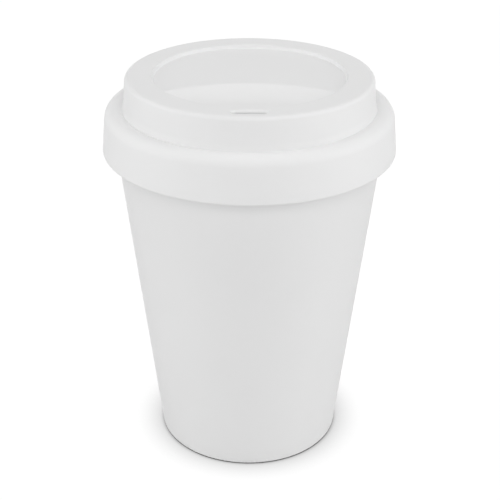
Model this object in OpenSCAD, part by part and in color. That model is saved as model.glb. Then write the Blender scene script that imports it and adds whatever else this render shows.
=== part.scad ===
// Takeaway coffee cup with a push-on lid.
// The cup's foot stands on z = 0 with its axis on Z, and the lid's sip slot faces -Y.

/* [Cup] */
// Height of the cup from its foot to the top of its rim
cup_h = 111; // [85:0.5:150]
// Outer radius of the cup at its foot
foot_r = 29.3; // [25:0.1:34]
// Outer radius of the rim
rim_r = 42.1; // [38:0.1:48]
// Thickness of the conical wall
cup_wall = 1.8; // [1.2:0.1:2.4]
// Thickness of the cup's floor
floor_t = 2; // [1.2:0.1:4]
// Radius of the bend between the floor and the wall inside the cup
floor_bend = 6; // [2:0.5:12]

/* [Foot ring] */
// Height of the foot ring below the underside of the floor
foot_h = 1.6; // [0.8:0.1:4]
// Width of the foot ring at the underside of the floor
foot_w = 3; // [2.2:0.1:5]
// Radius of the foot's outer edge
foot_edge = 0.8; // [0.3:0.1:1.2]

/* [Rim] */
// Thickness of the rim across its flat top
rim_t = 3.2; // [2.6:0.1:4]
// Height of the thick part of the rim
rim_h = 3; // [2:0.1:6]
// How far the rim stands out past the wall below it
rim_lip = 0.4; // [0.2:0.1:0.8]
// Radius of the rim's two upper edges
rim_edge = 1.2; // [0.4:0.1:1.25]

/* [Lid] */
// Thickness of the lid's walls
lid_wall = 1.7; // [1.2:0.1:2]
// Gap between the cup's rim and the collar around it
collar_gap = 0.3; // [0.2:0.05:0.6]
// Gap between the cup's rim and the skirt inside it
skirt_gap = 0.3; // [0.2:0.05:0.6]
// How far the collar hangs below the top of the cup's rim
collar_drop = 11.7; // [7:0.1:16]
// How much wider the collar is at its lower edge than at its shoulder
collar_flare = 0.9; // [0:0.1:2]
// Radius of the shoulder above the collar
shoulder_bend = 3.5; // [2:0.1:3.6]
// How far the sealing skirt reaches down into the cup
skirt_drop = 7; // [4:0.5:10]

/* [Raised ring] */
// Width of the shelf between the collar's outside and the raised ring
shelf_w = 6.05; // [5.6:0.05:7]
// Radius of the bend at the foot of the raised ring
ring_foot_bend = 0.2; // [0.2:0.1:0.6]
// Slope by which the raised ring's wall flares outward above that bend in degrees
ring_flare = 25; // [10:1:30]
// Radius of the curve in which it flares
ring_flare_bend = 6; // [2:0.5:9]
// Height of the raised ring above the shelf
ring_h = 9.75; // [7:0.05:16]
// How much narrower the raised ring is at its top than at its foot
ring_draft = 0.4; // [0:0.05:1.4]
// Radius of the raised ring's outer edge
ring_edge = 1.3; // [0.5:0.1:2.5]

/* [Recess] */
// Width of the flat band around the recess
band_w = 8; // [7.4:0.1:11]
// Depth of the recess below the flat band
recess_depth = 1.1; // [0.9:0.1:2]
// Slope of the recess wall in degrees
recess_slope = 75; // [50:1:80]
// Radius of the recess's upper edge
recess_edge = 0.4; // [0.2:0.1:0.7]
// Radius of the bend at the foot of the recess wall
recess_bend = 0.7; // [0.2:0.1:1]

/* [Scoop] */
// How far in front of the lid's axis the scoop begins
scoop_start = 5.6; // [2:0.1:9]
// Radius of the scoop's curved beginning, seen from above
scoop_sweep = 45.8; // [38:0.1:60]
// Slope of the scoop at its beginning in degrees
scoop_slope = 38; // [28:1:45]
// Depth of the scoop below the floor of the recess
scoop_depth = 3.2; // [2:0.1:4]

/* [Sip slot] */
// Length of the slot with its round ends
slot_l = 9.4; // [7:0.1:14]
// Width of the slot below its bevel
slot_w = 1.6; // [1.2:0.1:2.4]
// How far the slot lies behind the middle of the flat band
slot_back = 0.8; // [0:0.1:1]
// Size of the bevel around the slot's mouth
slot_bevel = 0.7; // [0.2:0.1:0.9]

/* [Hidden] */
$fn = 96;
// Steps in which a bend is drawn
BEND_STEPS = 8;
// Extra length of a cut beyond the surface that it opens
CUT = 1;

// The cup's wall leans outward by this angle from its foot to the rim
neck_r = rim_r - rim_lip;
neck_z = cup_h - rim_h;
lean = atan((neck_r - foot_r) / neck_z);
floor_z = foot_h + floor_t;
rim_in_r = rim_r - rim_t;
// Radius that the wall's inner face has below the thick part of the rim
neck_in_r = neck_r - cup_wall;

// Radii and heights of the lid's outer surface
collar_top_r = rim_r + collar_gap + lid_wall;
collar_low_r = collar_top_r + collar_flare;
collar_low_z = cup_h - collar_drop;
collar_edge = lid_wall * 0.4;
shelf_z = cup_h + lid_wall;
ring_foot_r = collar_top_r - shelf_w;
ring_top_r = ring_foot_r - ring_draft;
top_z = shelf_z + ring_h;

// The shoulder's bend is tangent to the bend at the ring's foot, so the shelf is a shallow gutter
shoulder_r = collar_top_r - shoulder_bend;
ring_lean = atan(ring_draft / ring_h);
flare_run = (ring_flare_bend - ring_foot_bend) * (cos(ring_lean) - cos(ring_flare));
gutter_r = ring_foot_r + ring_foot_bend + flare_run;
bends = shoulder_bend + ring_foot_bend;
gutter_turn = asin((shoulder_r - gutter_r) / bends);
shoulder_z = shelf_z + ring_foot_bend - bends * cos(gutter_turn);

// The sealing skirt and the inside of the raised ring
skirt_r = rim_in_r - skirt_gap;
skirt_in_r = skirt_r - lid_wall;
skirt_low_z = cup_h - skirt_drop;
ring_in_r = ring_foot_r - lid_wall;
under_top_z = top_z - lid_wall;

// The recess's wall bends down from the band, runs straight, and bends into the flat floor
recess_top_r = ring_top_r - band_w;
recess_z = top_z - recess_depth;
recess_bends = recess_edge + recess_bend;
wall_drop = recess_depth - recess_bends * (1 - cos(recess_slope));
recess_low_r = recess_top_r - recess_bends * sin(recess_slope) - wall_drop / tan(recess_slope);

// The scoop reaches out to the edge of that flat floor.
// Its section is an arc that levels out at the scoop's bottom.
scoop_axis_y = -(scoop_start + scoop_sweep);
scoop_bend = scoop_depth / (1 - cos(scoop_slope));
scoop_level_r = scoop_sweep - scoop_bend * sin(scoop_slope);
scoop_z = recess_z - scoop_depth;

slot_y = slot_back - (ring_top_r + recess_top_r) / 2;

// Points of an arc around centre, from one angle to another
function bend(centre, radius, from, to) = [
    for (step = [0:BEND_STEPS])
        centre + radius * [
            cos(from + (to - from) * step / BEND_STEPS),
            sin(from + (to - from) * step / BEND_STEPS)
        ]
];

// Radius of the centre of a bend that is tangent to a wall leaning outward by an angle.
// The wall's line starts at start_r on the level z = 0.
function tangent_r(start_r, z, radius, angle) = start_r + (z * sin(angle) - radius) / cos(angle);

// Half section of the cup: foot ring, outer wall, rim, inner wall and floor
module cup_section() {
    foot_in_r = foot_r - foot_w;
    foot_c = tangent_r(foot_r, foot_edge, foot_edge, lean);
    inner_c = tangent_r(foot_r - cup_wall, floor_z + floor_bend, floor_bend, lean);
    polygon(concat(
        [[0, foot_h], [foot_in_r, foot_h], [foot_in_r + foot_h / 2, 0]],
        bend([foot_c, foot_edge], foot_edge, -90, -lean),
        [[neck_r, neck_z], [rim_r, neck_z + rim_lip]],
        bend([rim_r - rim_edge, cup_h - rim_edge], rim_edge, 0, 90),
        bend([rim_in_r + rim_edge, cup_h - rim_edge], rim_edge, 90, 180),
        [[rim_in_r, neck_z + neck_in_r - rim_in_r], [neck_in_r, neck_z]],
        bend([inner_c, floor_z + floor_bend], floor_bend, -lean, -90),
        [[0, floor_z]]
    ));
}

module cup() {
    color("whitesmoke") rotate_extrude() cup_section();
}

// Half section of the lid: collar, shoulder, raised ring, recess, and the same wall seen from below
module lid_section() {
    collar_lean = atan(collar_flare / (shoulder_z - collar_low_z));
    skirt_edge = lid_wall / 2;
    gutter_c = [gutter_r, shelf_z + ring_foot_bend];
    flare_c = gutter_c + (ring_flare_bend - ring_foot_bend) * [cos(ring_flare), sin(ring_flare)];
    polygon(concat(
        [[collar_low_r - lid_wall, collar_low_z]],
        bend([collar_low_r - collar_edge, collar_low_z + collar_edge], collar_edge, -90, 0),
        bend([shoulder_r, shoulder_z], shoulder_bend, collar_lean, 90 + gutter_turn),
        bend(gutter_c, ring_foot_bend, gutter_turn - 90, -180 + ring_flare),
        bend(flare_c, ring_flare_bend, -180 + ring_flare, -180 + ring_lean),
        bend([ring_top_r - ring_edge, top_z - ring_edge], ring_edge, ring_lean, 90),
        bend([recess_top_r, top_z - recess_edge], recess_edge, 90, 90 + recess_slope),
        bend([recess_low_r, recess_z + recess_bend], recess_bend, recess_slope - 90, -90),
        [[0, recess_z], [0, recess_z - lid_wall]],
        [[recess_low_r + lid_wall, recess_z - lid_wall], [recess_top_r + lid_wall, under_top_z]],
        [[ring_in_r - ring_draft, under_top_z], [ring_in_r, shelf_z], [skirt_in_r, cup_h]],
        bend([skirt_in_r + skirt_edge, skirt_low_z + skirt_edge], skirt_edge, 180, 360),
        [[skirt_r, cup_h], [rim_r + collar_gap, cup_h]]
    ));
}

// Half section, around the axis that the scoop sweeps about, of all that lies above a surface
// which is lower than the scoop's own surface by the given drop
module scoop_section(drop, roof_z) {
    scoop_arc = bend([scoop_level_r, scoop_z + scoop_bend], scoop_bend + drop, -90, scoop_slope - 90);
    crest = scoop_arc[BEND_STEPS];
    polygon(concat([[0, roof_z], [0, scoop_z - drop]], scoop_arc, [[crest[0], roof_z]]));
}

// The scoop's hollow, or with a drop and a margin the solid that backs it
module scoop(drop, margin, roof_z) {
    intersection() {
        translate([0, scoop_axis_y]) rotate_extrude($fn = 240) scoop_section(drop, roof_z);
        translate([0, 0, scoop_z - 2 * lid_wall]) cylinder(h = top_z, r = recess_low_r + margin);
    }
}

// A slot with round ends, wider at its top than at its foot by the given flare on each side
module round_slot(h, flare) {
    half = (slot_l - slot_w) / 2;
    for (side = [-1, 1])
        translate([side * half, 0]) cylinder(h = h, r1 = slot_w / 2, r2 = slot_w / 2 + flare);
    rotate([90, 0, 90]) translate([0, 0, -half]) linear_extrude(2 * half) polygon([
        [-slot_w / 2, 0], [slot_w / 2, 0], [slot_w / 2 + flare, h], [-slot_w / 2 - flare, h]
    ]);
}

module sip_slot() {
    translate([0, slot_y, under_top_z - CUT]) round_slot(lid_wall + 2 * CUT, 0);
    translate([0, slot_y, top_z - slot_bevel]) round_slot(slot_bevel + CUT, slot_bevel + CUT);
}

module lid() {
    color("white") difference() {
        union() {
            rotate_extrude() lid_section();
            scoop(lid_wall, lid_wall, recess_z - lid_wall / 2);
        }
        scoop(0, 0, recess_z + CUT / 4);
        sip_slot();
    }
}

cup();
lid();
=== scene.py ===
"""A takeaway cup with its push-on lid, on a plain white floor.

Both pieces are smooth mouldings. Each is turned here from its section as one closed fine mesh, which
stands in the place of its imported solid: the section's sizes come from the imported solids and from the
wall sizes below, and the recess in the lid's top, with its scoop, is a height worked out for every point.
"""

import math

import bmesh
import bpy
import numpy as np
from mathutils import Euler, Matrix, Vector


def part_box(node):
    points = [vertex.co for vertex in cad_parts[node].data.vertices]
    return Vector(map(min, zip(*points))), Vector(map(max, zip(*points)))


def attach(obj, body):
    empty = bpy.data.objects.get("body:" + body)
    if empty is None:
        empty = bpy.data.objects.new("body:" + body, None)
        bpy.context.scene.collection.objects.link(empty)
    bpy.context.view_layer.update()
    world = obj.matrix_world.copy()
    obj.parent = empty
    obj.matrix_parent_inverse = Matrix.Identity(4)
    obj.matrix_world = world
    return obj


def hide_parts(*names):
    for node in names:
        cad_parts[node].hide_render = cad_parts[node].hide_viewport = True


MM = 0.001

# Facets around the axis of each turned piece
AROUND = 320
# Steps in each bend of a section
BEND_STEPS = 10
# Steps in each round end of the sip slot, and down its round edge
SLOT_STEPS = 14
SLOT_EDGE_STEPS = 8
# Distance between the rings of the lid, in millimetres: on its underside, on the band, down the wall of the
# recess and on the floor of the recess
UNDER_STEP = 0.6
BAND_STEP = 0.4
WALL_STEP = 0.06
FLOOR_STEP = 0.3
# Radius at which the height of the lid's middle is taken, in millimetres
CENTRE_R = 0.01
# Edges sharper than this many degrees stay crisp in the shading
SHARP_ANGLE = 50
# Chamfers of small and of hidden corners, in millimetres
CHAMFER = 0.2
WIDE_CHAMFER = 0.3

# Walls of the cup, in millimetres
CUP_WALL = 1.8
FLOOR_T = 2.0
FLOOR_BEND = 6.0
FOOT_R = 29.3
FOOT_H = 1.6
FOOT_W = 3.0
FOOT_EDGE = 0.8
RIM_T = 3.2
RIM_H = 3.0
RIM_LIP = 0.4
RIM_EDGE = 1.2

# Walls of the lid, in millimetres
LID_WALL = 1.7
COLLAR_GAP = 0.3
SKIRT_GAP = 0.3
COLLAR_FLARE = 0.9
COLLAR_EDGE = 0.68
SHOULDER_BEND = 3.5
SKIRT_DROP = 7.0
SHELF_W = 6.05
RING_FOOT_BEND = 0.2
RING_FLARE = 25.0
RING_FLARE_BEND = 6.0
RING_DRAFT = 0.4
RING_EDGE = 1.3
UNDER_BEND = 1.0
BAND_W = 8.0

# The recess and the scoop in the lid's top, in millimetres and degrees
RECESS_DEPTH = 1.1
RECESS_SLOPE = 75.0
RECESS_EDGE = 0.4
RECESS_BEND = 0.7
SCOOP_START = 5.6
SCOOP_SWEEP = 45.8
SCOOP_SLOPE = 38.0
SCOOP_DEPTH = 3.2
SCOOP_EDGE = 0.35

# The sip slot, in millimetres, and how many degrees its round edge turns
SLOT_L = 9.4
SLOT_W = 1.6
SLOT_BACK = 0.8
SLOT_EDGE = 1.1
SLOT_EDGE_TURN = 80
# How far the tool that cuts the slot stands out above and below the lid's wall, in millimetres
CUTTER_SPARE = 1

# The floor's painted soft shadow and the thin dark line of painted contact shade where the foot meets it: how
# far each reaches, in metres, and how deep it is
SHADES = [(0.014, 1.3), (0.0015, 0.85)]
# Added to the floor's normal for the shadow, which so looks forward and a little to the left: the shadow is
# weaker in front of the cup and on its left, and stronger behind it and on its right
SHADE_LEAN = (-0.02, -0.05, 0)
SHADE_SAMPLES = 16
# How bright the clear floor glows, how much of the lamps' light it shows, and how white it is for the light
# that it throws back at the object
FLOOR_GLOW = 1.0
FLOOR_SEEN = 0.03
FLOOR_TONE = 0.82
# Size of the floor in metres, and how far it lies under the foot in millimetres
FLOOR_SIZE = 6
FLOOR_DROP = 0.02

# Soft lamps: name, azimuth in degrees with 0 in front and 90 to the right, elevation in degrees, and watts
LAMPS = [
    ("front_low", 0, 10, 1.85),
    ("front", 0, 35, 3.75),
    ("above", 0, 88, 2.95),
    ("right", 80, 12, 3.85),
    ("right_back", 105, 40, 2.6),
    ("left", -80, 12, 3.5),
    ("left_back", -105, 40, 2.35),
]
# Size of the lamps, their distance from the point that they look at, and that point, in metres
LAMP_SIZE = 0.7
LAMP_DISTANCE = 1.2
LAMP_AIM = (0, 0, 0.065)
# Strength of the even light from all round
EVEN_LIGHT = 0.25

# The plastic: tone of each piece, how dark its clouds get as a share of the tone, roughness and how much that
# varies, and depth of the fine grain and of the wide waves in metres
CUP_TONE = (0.80, 0.80, 0.80)
LID_TONE = (0.82, 0.82, 0.82)
CLOUD_SHARE = 0.988
ROUGHNESS = 0.6
ROUGHNESS_SPREAD = 0.04
GRAIN = 0.00003
WAVES = GRAIN * 4
# About how many patches of each pattern in the plastic come to a metre
CLOUD_SCALE = 38.0
SPOT_SCALE = 160.0
WAVE_SCALE = 220.0
GRAIN_SCALE = 2600.0

# The camera, fitted to the outlines in the photograph: place in millimetres, degrees down, degrees of roll,
# and lens in millimetres
CAMERA_PLACE = (0.30, -335.3, 234.05)
CAMERA_DOWN = 27.02
CAMERA_ROLL = 0.25
CAMERA_LENS = 83.83

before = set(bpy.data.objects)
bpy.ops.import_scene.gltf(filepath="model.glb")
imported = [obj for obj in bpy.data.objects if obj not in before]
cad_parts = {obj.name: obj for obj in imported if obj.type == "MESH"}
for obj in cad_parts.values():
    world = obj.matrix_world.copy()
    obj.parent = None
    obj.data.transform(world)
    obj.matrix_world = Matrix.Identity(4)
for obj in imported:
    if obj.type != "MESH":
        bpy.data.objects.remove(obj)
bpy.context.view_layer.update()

# Direction of each edge between two facets, seen along the axis
facet_angles = np.arange(AROUND) * 2 * math.pi / AROUND
facet_cos = np.cos(facet_angles)
facet_sin = np.sin(facet_angles)


def bend(centre, radius, start, end, steps=BEND_STEPS):
    """Points of an arc around centre, with angles in degrees."""
    angles = np.radians(np.linspace(start, end, steps + 1))
    return [(centre[0] + radius * math.cos(a), centre[1] + radius * math.sin(a)) for a in angles]


def line(start, end, steps):
    """Points along a straight stretch, without its two ends."""
    parts = [step / steps for step in range(1, steps)]
    return [(start[0] + (end[0] - start[0]) * t, start[1] + (end[1] - start[1]) * t) for t in parts]


def tangent_r(start_r, z, radius, angle):
    """Radius of the centre of a bend that is tangent to a wall leaning outward by an angle."""
    return start_r + (z * math.sin(angle) - radius) / math.cos(angle)


def turned(name, rings):
    """One closed mesh from rings of points, the first and the last of them on the axis.

    Each ring is a radius and a height, and the height may be a number or one number for each facet.
    """
    points = [np.array([[0, 0, np.mean(rings[0][1])]])]
    for radius, height in rings[1:-1]:
        points.append(np.column_stack([radius * facet_cos, radius * facet_sin, np.full(AROUND, height)]))
    points.append(np.array([[0, 0, np.mean(rings[-1][1])]]))
    vertices = np.vstack(points) * MM
    faces = []
    last = len(vertices) - 1
    ring_count = len(rings) - 2
    for i in range(AROUND):
        j = (i + 1) % AROUND
        faces.append((0, 1 + j, 1 + i))
        faces.append((last, last - AROUND + i, last - AROUND + j))
        for ring in range(ring_count - 1):
            low = 1 + ring * AROUND
            high = low + AROUND
            faces.append((low + i, low + j, high + j, high + i))
    mesh = bpy.data.meshes.new(name)
    mesh.from_pydata(vertices.tolist(), [], faces)
    mesh.update()
    piece = bpy.data.objects.new(name, mesh)
    bpy.context.scene.collection.objects.link(piece)
    return piece


def face_outward(piece, sharp_angle=SHARP_ANGLE):
    """Turns all faces outward and shades the mesh smooth, apart from edges sharper than an angle."""
    work = bmesh.new()
    work.from_mesh(piece.data)
    bmesh.ops.recalc_face_normals(work, faces=work.faces)
    work.to_mesh(piece.data)
    work.free()
    piece.data.polygons.foreach_set("use_smooth", [True] * len(piece.data.polygons))
    piece.data.set_sharp_from_angle(angle=math.radians(sharp_angle))
    piece.data.update()


def softer_min(a, b, width):
    """The lower of two heights, with the crease between them rounded over a width."""
    near = np.maximum(width - np.abs(a - b), 0) / width
    return np.minimum(a, b) - near * near * width / 4


def softer_max(a, b, width):
    """The higher of two heights, with the crease between them rounded over a width."""
    return -softer_min(-a, -b, width)


cup_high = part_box("cup")[1]
lid_low, lid_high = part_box("lid")
rim_r = cup_high.x / MM
cup_h = cup_high.z / MM
top_z = lid_high.z / MM
collar_low_z = lid_low.z / MM
collar_low_r = lid_high.x / MM


def cup_rings():
    """The cup's section from the middle of its underside, round the wall, to the middle of its floor."""
    neck_r = rim_r - RIM_LIP
    neck_z = cup_h - RIM_H
    lean = math.atan((neck_r - FOOT_R) / neck_z)
    lean_deg = math.degrees(lean)
    floor_z = FOOT_H + FLOOR_T
    rim_in_r = rim_r - RIM_T
    neck_in_r = neck_r - CUP_WALL
    foot_in_r = FOOT_R - FOOT_W
    foot_c = tangent_r(FOOT_R, FOOT_EDGE, FOOT_EDGE, lean)
    inner_c = tangent_r(FOOT_R - CUP_WALL, floor_z + FLOOR_BEND, FLOOR_BEND, lean)
    foot = bend((foot_c, FOOT_EDGE), FOOT_EDGE, -90, -lean_deg)
    inside = bend((inner_c, floor_z + FLOOR_BEND), FLOOR_BEND, -lean_deg, -90)
    neck_in = (neck_in_r, neck_z)
    rings = [(0, FOOT_H)] + line((0, FOOT_H), (foot_in_r, FOOT_H), 6)
    rings += [(foot_in_r - WIDE_CHAMFER, FOOT_H), (foot_in_r, FOOT_H - CHAMFER / 2)]
    rings += [(foot_in_r + FOOT_H / 2 - CHAMFER / 2, CHAMFER / 2), (foot_in_r + FOOT_H / 2 + CHAMFER, 0)]
    rings += foot
    rings += line(foot[-1], (neck_r, neck_z), 24)
    rings += [(neck_r, neck_z - WIDE_CHAMFER), (neck_r + RIM_LIP * 0.35, neck_z)]
    rings += [(rim_r - RIM_LIP * 0.2, neck_z + RIM_LIP * 0.8), (rim_r, neck_z + RIM_LIP + CHAMFER)]
    rings += bend((rim_r - RIM_EDGE, cup_h - RIM_EDGE), RIM_EDGE, 0, 90)
    rings += bend((rim_in_r + RIM_EDGE, cup_h - RIM_EDGE), RIM_EDGE, 90, 180)
    rings += [(rim_in_r, neck_z + neck_in_r - rim_in_r), neck_in]
    rings += line(neck_in, inside[0], 20) + inside
    rings += line(inside[-1], (0, floor_z), 8) + [(0, floor_z)]
    return rings


collar_top_r = rim_r + COLLAR_GAP + LID_WALL
shelf_z = cup_h + LID_WALL
ring_foot_r = collar_top_r - SHELF_W
ring_top_r = ring_foot_r - RING_DRAFT
recess_top_r = ring_top_r - BAND_W
recess_z = top_z - RECESS_DEPTH
under_top_z = top_z - LID_WALL
slope = math.radians(RECESS_SLOPE)
wall_top_r = recess_top_r - RECESS_EDGE * math.sin(slope)
wall_top_z = top_z - RECESS_EDGE * (1 - math.cos(slope))
recess_low_r = wall_top_r - RECESS_BEND * math.sin(slope) - RECESS_DEPTH / math.tan(slope)
scoop_axis_y = -(SCOOP_START + SCOOP_SWEEP)
scoop_bend = SCOOP_DEPTH / (1 - math.cos(math.radians(SCOOP_SLOPE)))
scoop_level_r = SCOOP_SWEEP - scoop_bend * math.sin(math.radians(SCOOP_SLOPE))
scoop_z = recess_z - SCOOP_DEPTH
slot_y = SLOT_BACK - (ring_top_r + recess_top_r) / 2


def scoop_height(x, y):
    """Height of the scoop's surface, carried on beyond its crest at the slope that it has there."""
    reach = np.hypot(x, y - scoop_axis_y)
    on_arc = np.clip(reach - scoop_level_r, 0, SCOOP_SWEEP - scoop_level_r)
    beyond = np.maximum(reach - SCOOP_SWEEP, 0)
    arc = scoop_z + scoop_bend - np.sqrt(scoop_bend ** 2 - on_arc ** 2)
    return arc + beyond * math.tan(math.radians(SCOOP_SLOPE))


def recess_heights(radius, drop=0.0):
    """Heights of the lid's top around the axis at one radius, or of its underside for a drop."""
    x, y = radius * facet_cos, radius * facet_sin
    floor = softer_min(np.full(AROUND, recess_z), scoop_height(x, y), SCOOP_EDGE) - drop
    wall = wall_top_z + (radius - wall_top_r - drop / math.sin(slope)) * math.tan(slope)
    basin = softer_max(floor, np.full(AROUND, wall), 2 * RECESS_BEND * (1 - math.cos(slope)))
    return softer_min(basin, np.full(AROUND, top_z - drop), 2 * RECESS_EDGE * (1 - math.cos(slope)))


def lid_rings():
    """The lid's section from the middle of its underside, round the collar, to the middle of its top."""
    bends = SHOULDER_BEND + RING_FOOT_BEND
    shoulder_r = collar_top_r - SHOULDER_BEND
    ring_lean = math.atan(RING_DRAFT / (top_z - shelf_z))
    flare = math.radians(RING_FLARE)
    flare_reach = RING_FLARE_BEND - RING_FOOT_BEND
    gutter_r = ring_foot_r + RING_FOOT_BEND + flare_reach * (math.cos(ring_lean) - math.cos(flare))
    gutter_c = (gutter_r, shelf_z + RING_FOOT_BEND)
    flare_c = (gutter_c[0] + flare_reach * math.cos(flare), gutter_c[1] + flare_reach * math.sin(flare))
    ring_lean = math.degrees(ring_lean)
    gutter_turn = math.degrees(math.asin((shoulder_r - gutter_r) / bends))
    shoulder_z = shelf_z + RING_FOOT_BEND - bends * math.cos(math.radians(gutter_turn))
    collar_lean = math.degrees(math.atan(COLLAR_FLARE / (shoulder_z - collar_low_z)))
    skirt_r = rim_r - RIM_T - SKIRT_GAP
    skirt_in_r = skirt_r - LID_WALL
    skirt_low_z = cup_h - SKIRT_DROP
    skirt_edge = LID_WALL / 2
    ring_in_r = ring_foot_r - LID_WALL
    under_r = ring_in_r - RING_DRAFT
    collar_in_r = collar_low_r - LID_WALL

    rings = [(0, recess_heights(CENTRE_R, LID_WALL))]
    under = np.arange(UNDER_STEP, under_r - UNDER_BEND - CHAMFER, UNDER_STEP)
    rings += [(r, recess_heights(r, LID_WALL)) for r in under]
    rings += bend((under_r - UNDER_BEND, under_top_z - UNDER_BEND), UNDER_BEND, 90, 0, 5)
    rings += [(ring_in_r, shelf_z), (skirt_in_r, cup_h)]
    rings += bend((skirt_in_r + skirt_edge, skirt_low_z + skirt_edge), skirt_edge, 180, 360)
    rings += [(skirt_r, cup_h - CHAMFER), (skirt_r + CHAMFER, cup_h), (rim_r + COLLAR_GAP - CHAMFER, cup_h)]
    rings += [(rim_r + COLLAR_GAP, cup_h - CHAMFER), (collar_in_r, collar_low_z + WIDE_CHAMFER)]
    rings += [(collar_in_r + 0.1, collar_low_z + 0.08), (collar_in_r + WIDE_CHAMFER, collar_low_z)]
    rings += bend((collar_low_r - COLLAR_EDGE, collar_low_z + COLLAR_EDGE), COLLAR_EDGE, -90, 0)
    shoulder = bend((shoulder_r, shoulder_z), SHOULDER_BEND, collar_lean, 90 + gutter_turn, 18)
    rings += line(rings[-1], shoulder[0], 6) + shoulder
    rings += bend(gutter_c, RING_FOOT_BEND, gutter_turn - 90, RING_FLARE - 180, 6)[1:]
    rings += bend(flare_c, RING_FLARE_BEND, RING_FLARE - 180, ring_lean - 180)[1:]
    edge = bend((ring_top_r - RING_EDGE, top_z - RING_EDGE), RING_EDGE, ring_lean, 90)
    rings += line(rings[-1], edge[0], 6) + edge
    band_in_r = recess_top_r + 0.6
    band = np.arange(edge[-1][0] - BAND_STEP, band_in_r, -BAND_STEP)
    wall = np.arange(band_in_r, recess_low_r - 1, -WALL_STEP)
    floor = np.arange(recess_low_r - 1.1, 0.2, -FLOOR_STEP)
    rings += [(r, recess_heights(r)) for r in np.concatenate([band, wall, floor])]
    rings.append((0, recess_heights(CENTRE_R)))
    return rings


def slot_outline(grow):
    """Points around the slot, moved outward by grow."""
    half = (SLOT_L - SLOT_W) / 2
    radius = SLOT_W / 2 + grow
    front = bend((half, slot_y), radius, -90, 90, SLOT_STEPS)
    return front + bend((-half, slot_y), radius, 90, 270, SLOT_STEPS)


def cut_slot(piece):
    """Cuts the sip slot through the band in the lid's top, with a round edge at its mouth."""
    layers = [(under_top_z - CUTTER_SPARE, 0)]
    layers += [
        (top_z - SLOT_EDGE + SLOT_EDGE * math.sin(a), SLOT_EDGE * (1 - math.cos(a)))
        for a in np.radians(np.linspace(0, SLOT_EDGE_TURN, SLOT_EDGE_STEPS + 1))
    ]
    layers.append((top_z + CUTTER_SPARE, layers[-1][1] + 0.02))
    work = bmesh.new()
    loops = []
    for height, grow in layers:
        loops.append([work.verts.new((x * MM, y * MM, height * MM)) for x, y in slot_outline(grow)])
    for low, high in zip(loops, loops[1:]):
        for i in range(len(low)):
            j = (i + 1) % len(low)
            work.faces.new((low[i], low[j], high[j], high[i]))
    work.faces.new(loops[0][::-1])
    work.faces.new(loops[-1])
    mesh = bpy.data.meshes.new("slot_cutter")
    work.to_mesh(mesh)
    work.free()
    cutter = bpy.data.objects.new("slot_cutter", mesh)
    bpy.context.scene.collection.objects.link(cutter)
    cut = piece.modifiers.new("slot", "BOOLEAN")
    cut.operation = "DIFFERENCE"
    cut.solver = "EXACT"
    cut.object = cutter
    bpy.context.view_layer.update()
    done = bpy.data.meshes.new_from_object(piece.evaluated_get(bpy.context.evaluated_depsgraph_get()))
    piece.modifiers.clear()
    piece.data = done
    bpy.data.objects.remove(cutter)


def moulded(name, tone):
    """Near-white moulded plastic: faint clouds in its colour, duller spots, and waves and a fine grain."""
    material = bpy.data.materials.new(name)
    material.use_nodes = True
    nodes, links = material.node_tree.nodes, material.node_tree.links
    shader = nodes["Principled BSDF"]
    place = nodes.new("ShaderNodeTexCoord").outputs["Object"]

    def noise(scale, detail, rough=0.5):
        node = nodes.new("ShaderNodeTexNoise")
        node.inputs["Scale"].default_value = scale
        node.inputs["Detail"].default_value = detail
        node.inputs["Roughness"].default_value = rough
        links.new(place, node.inputs["Vector"])
        return node.outputs["Fac"]

    def spread(value, low, high):
        node = nodes.new("ShaderNodeMapRange")
        node.inputs["From Min"].default_value = 0.3
        node.inputs["From Max"].default_value = 0.7
        node.inputs["To Min"].default_value = low
        node.inputs["To Max"].default_value = high
        links.new(value, node.inputs["Value"])
        return node.outputs["Result"]

    def relief(height, strength, depth):
        node = nodes.new("ShaderNodeBump")
        node.inputs["Strength"].default_value = strength
        node.inputs["Distance"].default_value = depth
        links.new(height, node.inputs["Height"])
        return node

    ramp = nodes.new("ShaderNodeValToRGB")
    ramp.color_ramp.elements[0].position = 0.25
    ramp.color_ramp.elements[1].position = 0.75
    ramp.color_ramp.elements[0].color = [part * CLOUD_SHARE for part in tone] + [1]
    ramp.color_ramp.elements[1].color = list(tone) + [1]
    links.new(noise(CLOUD_SCALE, 4.0), ramp.inputs["Fac"])
    links.new(ramp.outputs["Color"], shader.inputs["Base Color"])
    spots = spread(noise(SPOT_SCALE, 3.0), ROUGHNESS - ROUGHNESS_SPREAD, ROUGHNESS + ROUGHNESS_SPREAD)
    links.new(spots, shader.inputs["Roughness"])

    fine = relief(noise(GRAIN_SCALE, 2.0, 0.6), 0.25, GRAIN)
    wide = relief(noise(WAVE_SCALE, 3.0), 0.15, WAVES)
    links.new(fine.outputs["Normal"], wide.inputs["Normal"])
    links.new(wide.outputs["Normal"], shader.inputs["Normal"])
    shader.inputs["IOR"].default_value = 1.46
    shader.inputs["Specular IOR Level"].default_value = 0.25
    return material


def math_node(nodes, links, operation, *values, clamp=False):
    """Result of a sum whose values are numbers or other nodes' outputs."""
    node = nodes.new("ShaderNodeMath")
    node.operation = operation
    node.use_clamp = clamp
    for place, value in enumerate(values):
        if isinstance(value, (int, float)):
            node.inputs[place].default_value = value
        else:
            links.new(value, node.inputs[place])
    return node.outputs[0]


def rays_of(nodes, links, kinds):
    """One for rays of any of these kinds, and zero for all others."""
    rays = nodes.new("ShaderNodeLightPath").outputs
    found = rays[kinds[0]]
    for kind in kinds[1:]:
        found = math_node(nodes, links, "MAXIMUM", found, rays[kind])
    return found


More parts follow.
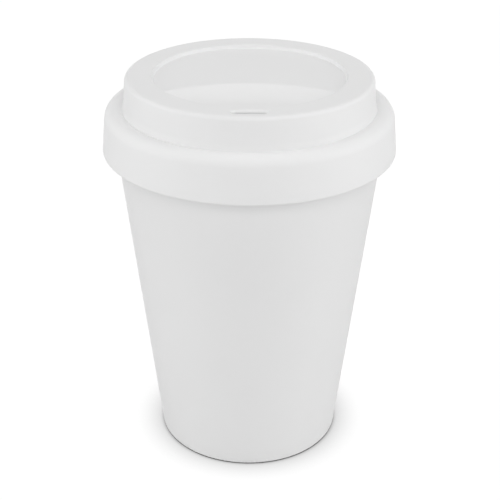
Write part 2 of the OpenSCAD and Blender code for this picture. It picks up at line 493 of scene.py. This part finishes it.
def floor_shade(nodes, links):
    """Brightness of the seen floor, which falls off with the square of how much the object closes it in."""
    lean = nodes.new("ShaderNodeVectorMath")
    lean.operation = "ADD"
    lean.inputs[1].default_value = SHADE_LEAN
    links.new(nodes.new("ShaderNodeNewGeometry").outputs["Normal"], lean.inputs[0])
    leaning = nodes.new("ShaderNodeVectorMath")
    leaning.operation = "NORMALIZE"
    links.new(lean.outputs[0], leaning.inputs[0])
    level = FLOOR_GLOW
    for reach, depth in SHADES:
        nearness = nodes.new("ShaderNodeAmbientOcclusion")
        nearness.samples = SHADE_SAMPLES
        nearness.inputs["Distance"].default_value = reach
        links.new(leaning.outputs[0], nearness.inputs["Normal"])
        closed = math_node(nodes, links, "SUBTRACT", 1, nearness.outputs["AO"])
        square = math_node(nodes, links, "POWER", closed, 2)
        level = math_node(nodes, links, "MULTIPLY_ADD", square, -depth, level, clamp=True)
    return level


def white_floor():
    """A plain floor that shows as white, with the object's soft shadow painted into its glow, darkest where
    the foot meets it.
    """
    bpy.ops.mesh.primitive_plane_add(size=FLOOR_SIZE, location=(0, 0, -FLOOR_DROP * MM))
    floor = bpy.context.object
    floor.name = "studio_floor"
    material = bpy.data.materials.new("floor_white")
    material.use_nodes = True
    nodes, links = material.node_tree.nodes, material.node_tree.links
    nodes.clear()
    output = nodes.new("ShaderNodeOutputMaterial")
    plain = nodes.new("ShaderNodeBsdfDiffuse")
    plain.inputs["Color"].default_value = (FLOOR_TONE, FLOOR_TONE, FLOOR_TONE, 1)
    seen = nodes.new("ShaderNodeBsdfDiffuse")
    seen.inputs["Color"].default_value = (FLOOR_SEEN, FLOOR_SEEN, FLOOR_SEEN, 1)
    glow = nodes.new("ShaderNodeEmission")
    # Painted shadow: the floor's glow is dimmed where the object closes it in
    links.new(floor_shade(nodes, links), glow.inputs["Strength"])
    add = nodes.new("ShaderNodeAddShader")
    links.new(seen.outputs[0], add.inputs[0])
    links.new(glow.outputs[0], add.inputs[1])
    mix = nodes.new("ShaderNodeMixShader")
    links.new(rays_of(nodes, links, ["Is Camera Ray", "Is Glossy Ray"]), mix.inputs[0])
    links.new(plain.outputs[0], mix.inputs[1])
    links.new(add.outputs[0], mix.inputs[2])
    links.new(mix.outputs[0], output.inputs["Surface"])
    floor.data.materials.append(material)


def world_light(strength):
    """Even light from all round, which the camera, reflections and clear materials see as white."""
    world = bpy.data.worlds.new("studio")
    world.use_nodes = True
    bpy.context.scene.world = world
    nodes, links = world.node_tree.nodes, world.node_tree.links
    nodes.clear()
    output = nodes.new("ShaderNodeOutputWorld")
    even = nodes.new("ShaderNodeBackground")
    even.inputs["Color"].default_value = (1, 1, 1, 1)
    even.inputs["Strength"].default_value = strength
    white = nodes.new("ShaderNodeBackground")
    white.inputs["Color"].default_value = (1, 1, 1, 1)
    white.inputs["Strength"].default_value = 1
    mix = nodes.new("ShaderNodeMixShader")
    kinds = ["Is Camera Ray", "Is Glossy Ray", "Is Transmission Ray"]
    links.new(rays_of(nodes, links, kinds), mix.inputs[0])
    links.new(even.outputs[0], mix.inputs[1])
    links.new(white.outputs[0], mix.inputs[2])
    links.new(mix.outputs[0], output.inputs["Surface"])


def area_lamp(name, azimuth, elevation, power):
    """A square soft lamp that looks at the middle of the object."""
    across = math.radians(azimuth)
    up = math.radians(elevation)
    way = Vector((math.sin(across) * math.cos(up), -math.cos(across) * math.cos(up), math.sin(up)))
    data = bpy.data.lights.new(name, "AREA")
    data.shape = "SQUARE"
    data.size = LAMP_SIZE
    data.energy = power
    lamp = bpy.data.objects.new(name, data)
    lamp.location = Vector(LAMP_AIM) + way * LAMP_DISTANCE
    lamp.rotation_euler = (-way).to_track_quat("-Z", "Y").to_euler()
    bpy.context.scene.collection.objects.link(lamp)


def camera():
    """The photograph's view, about 27 degrees down from nearly 0.4 m away."""
    data = bpy.data.cameras.new("view")
    data.sensor_width = 36
    data.lens = CAMERA_LENS
    data.clip_start = 0.01
    view = bpy.data.objects.new("view", data)
    view.location = [part * MM for part in CAMERA_PLACE]
    tilt = Euler((math.radians(90 - CAMERA_DOWN), 0, 0)).to_matrix()
    roll = Euler((0, 0, math.radians(CAMERA_ROLL))).to_matrix()
    view.rotation_euler = (tilt @ roll).to_euler()
    bpy.context.scene.collection.objects.link(view)
    bpy.context.scene.camera = view


cup = turned("cup_moulding", cup_rings())
face_outward(cup)
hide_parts("cup")
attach(cup, "cup")
cup.data.materials.append(moulded("cup_plastic", CUP_TONE))

lid = turned("lid_moulding", lid_rings())
face_outward(lid, sharp_angle=180)
cut_slot(lid)
face_outward(lid)
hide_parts("lid")
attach(lid, "lid")
lid.data.materials.clear()
lid.data.materials.append(moulded("lid_plastic", LID_TONE))

white_floor()
world_light(EVEN_LIGHT)
for lamp in LAMPS:
    area_lamp(*lamp)
camera()
bpy.context.scene.view_settings.view_transform = "Standard"
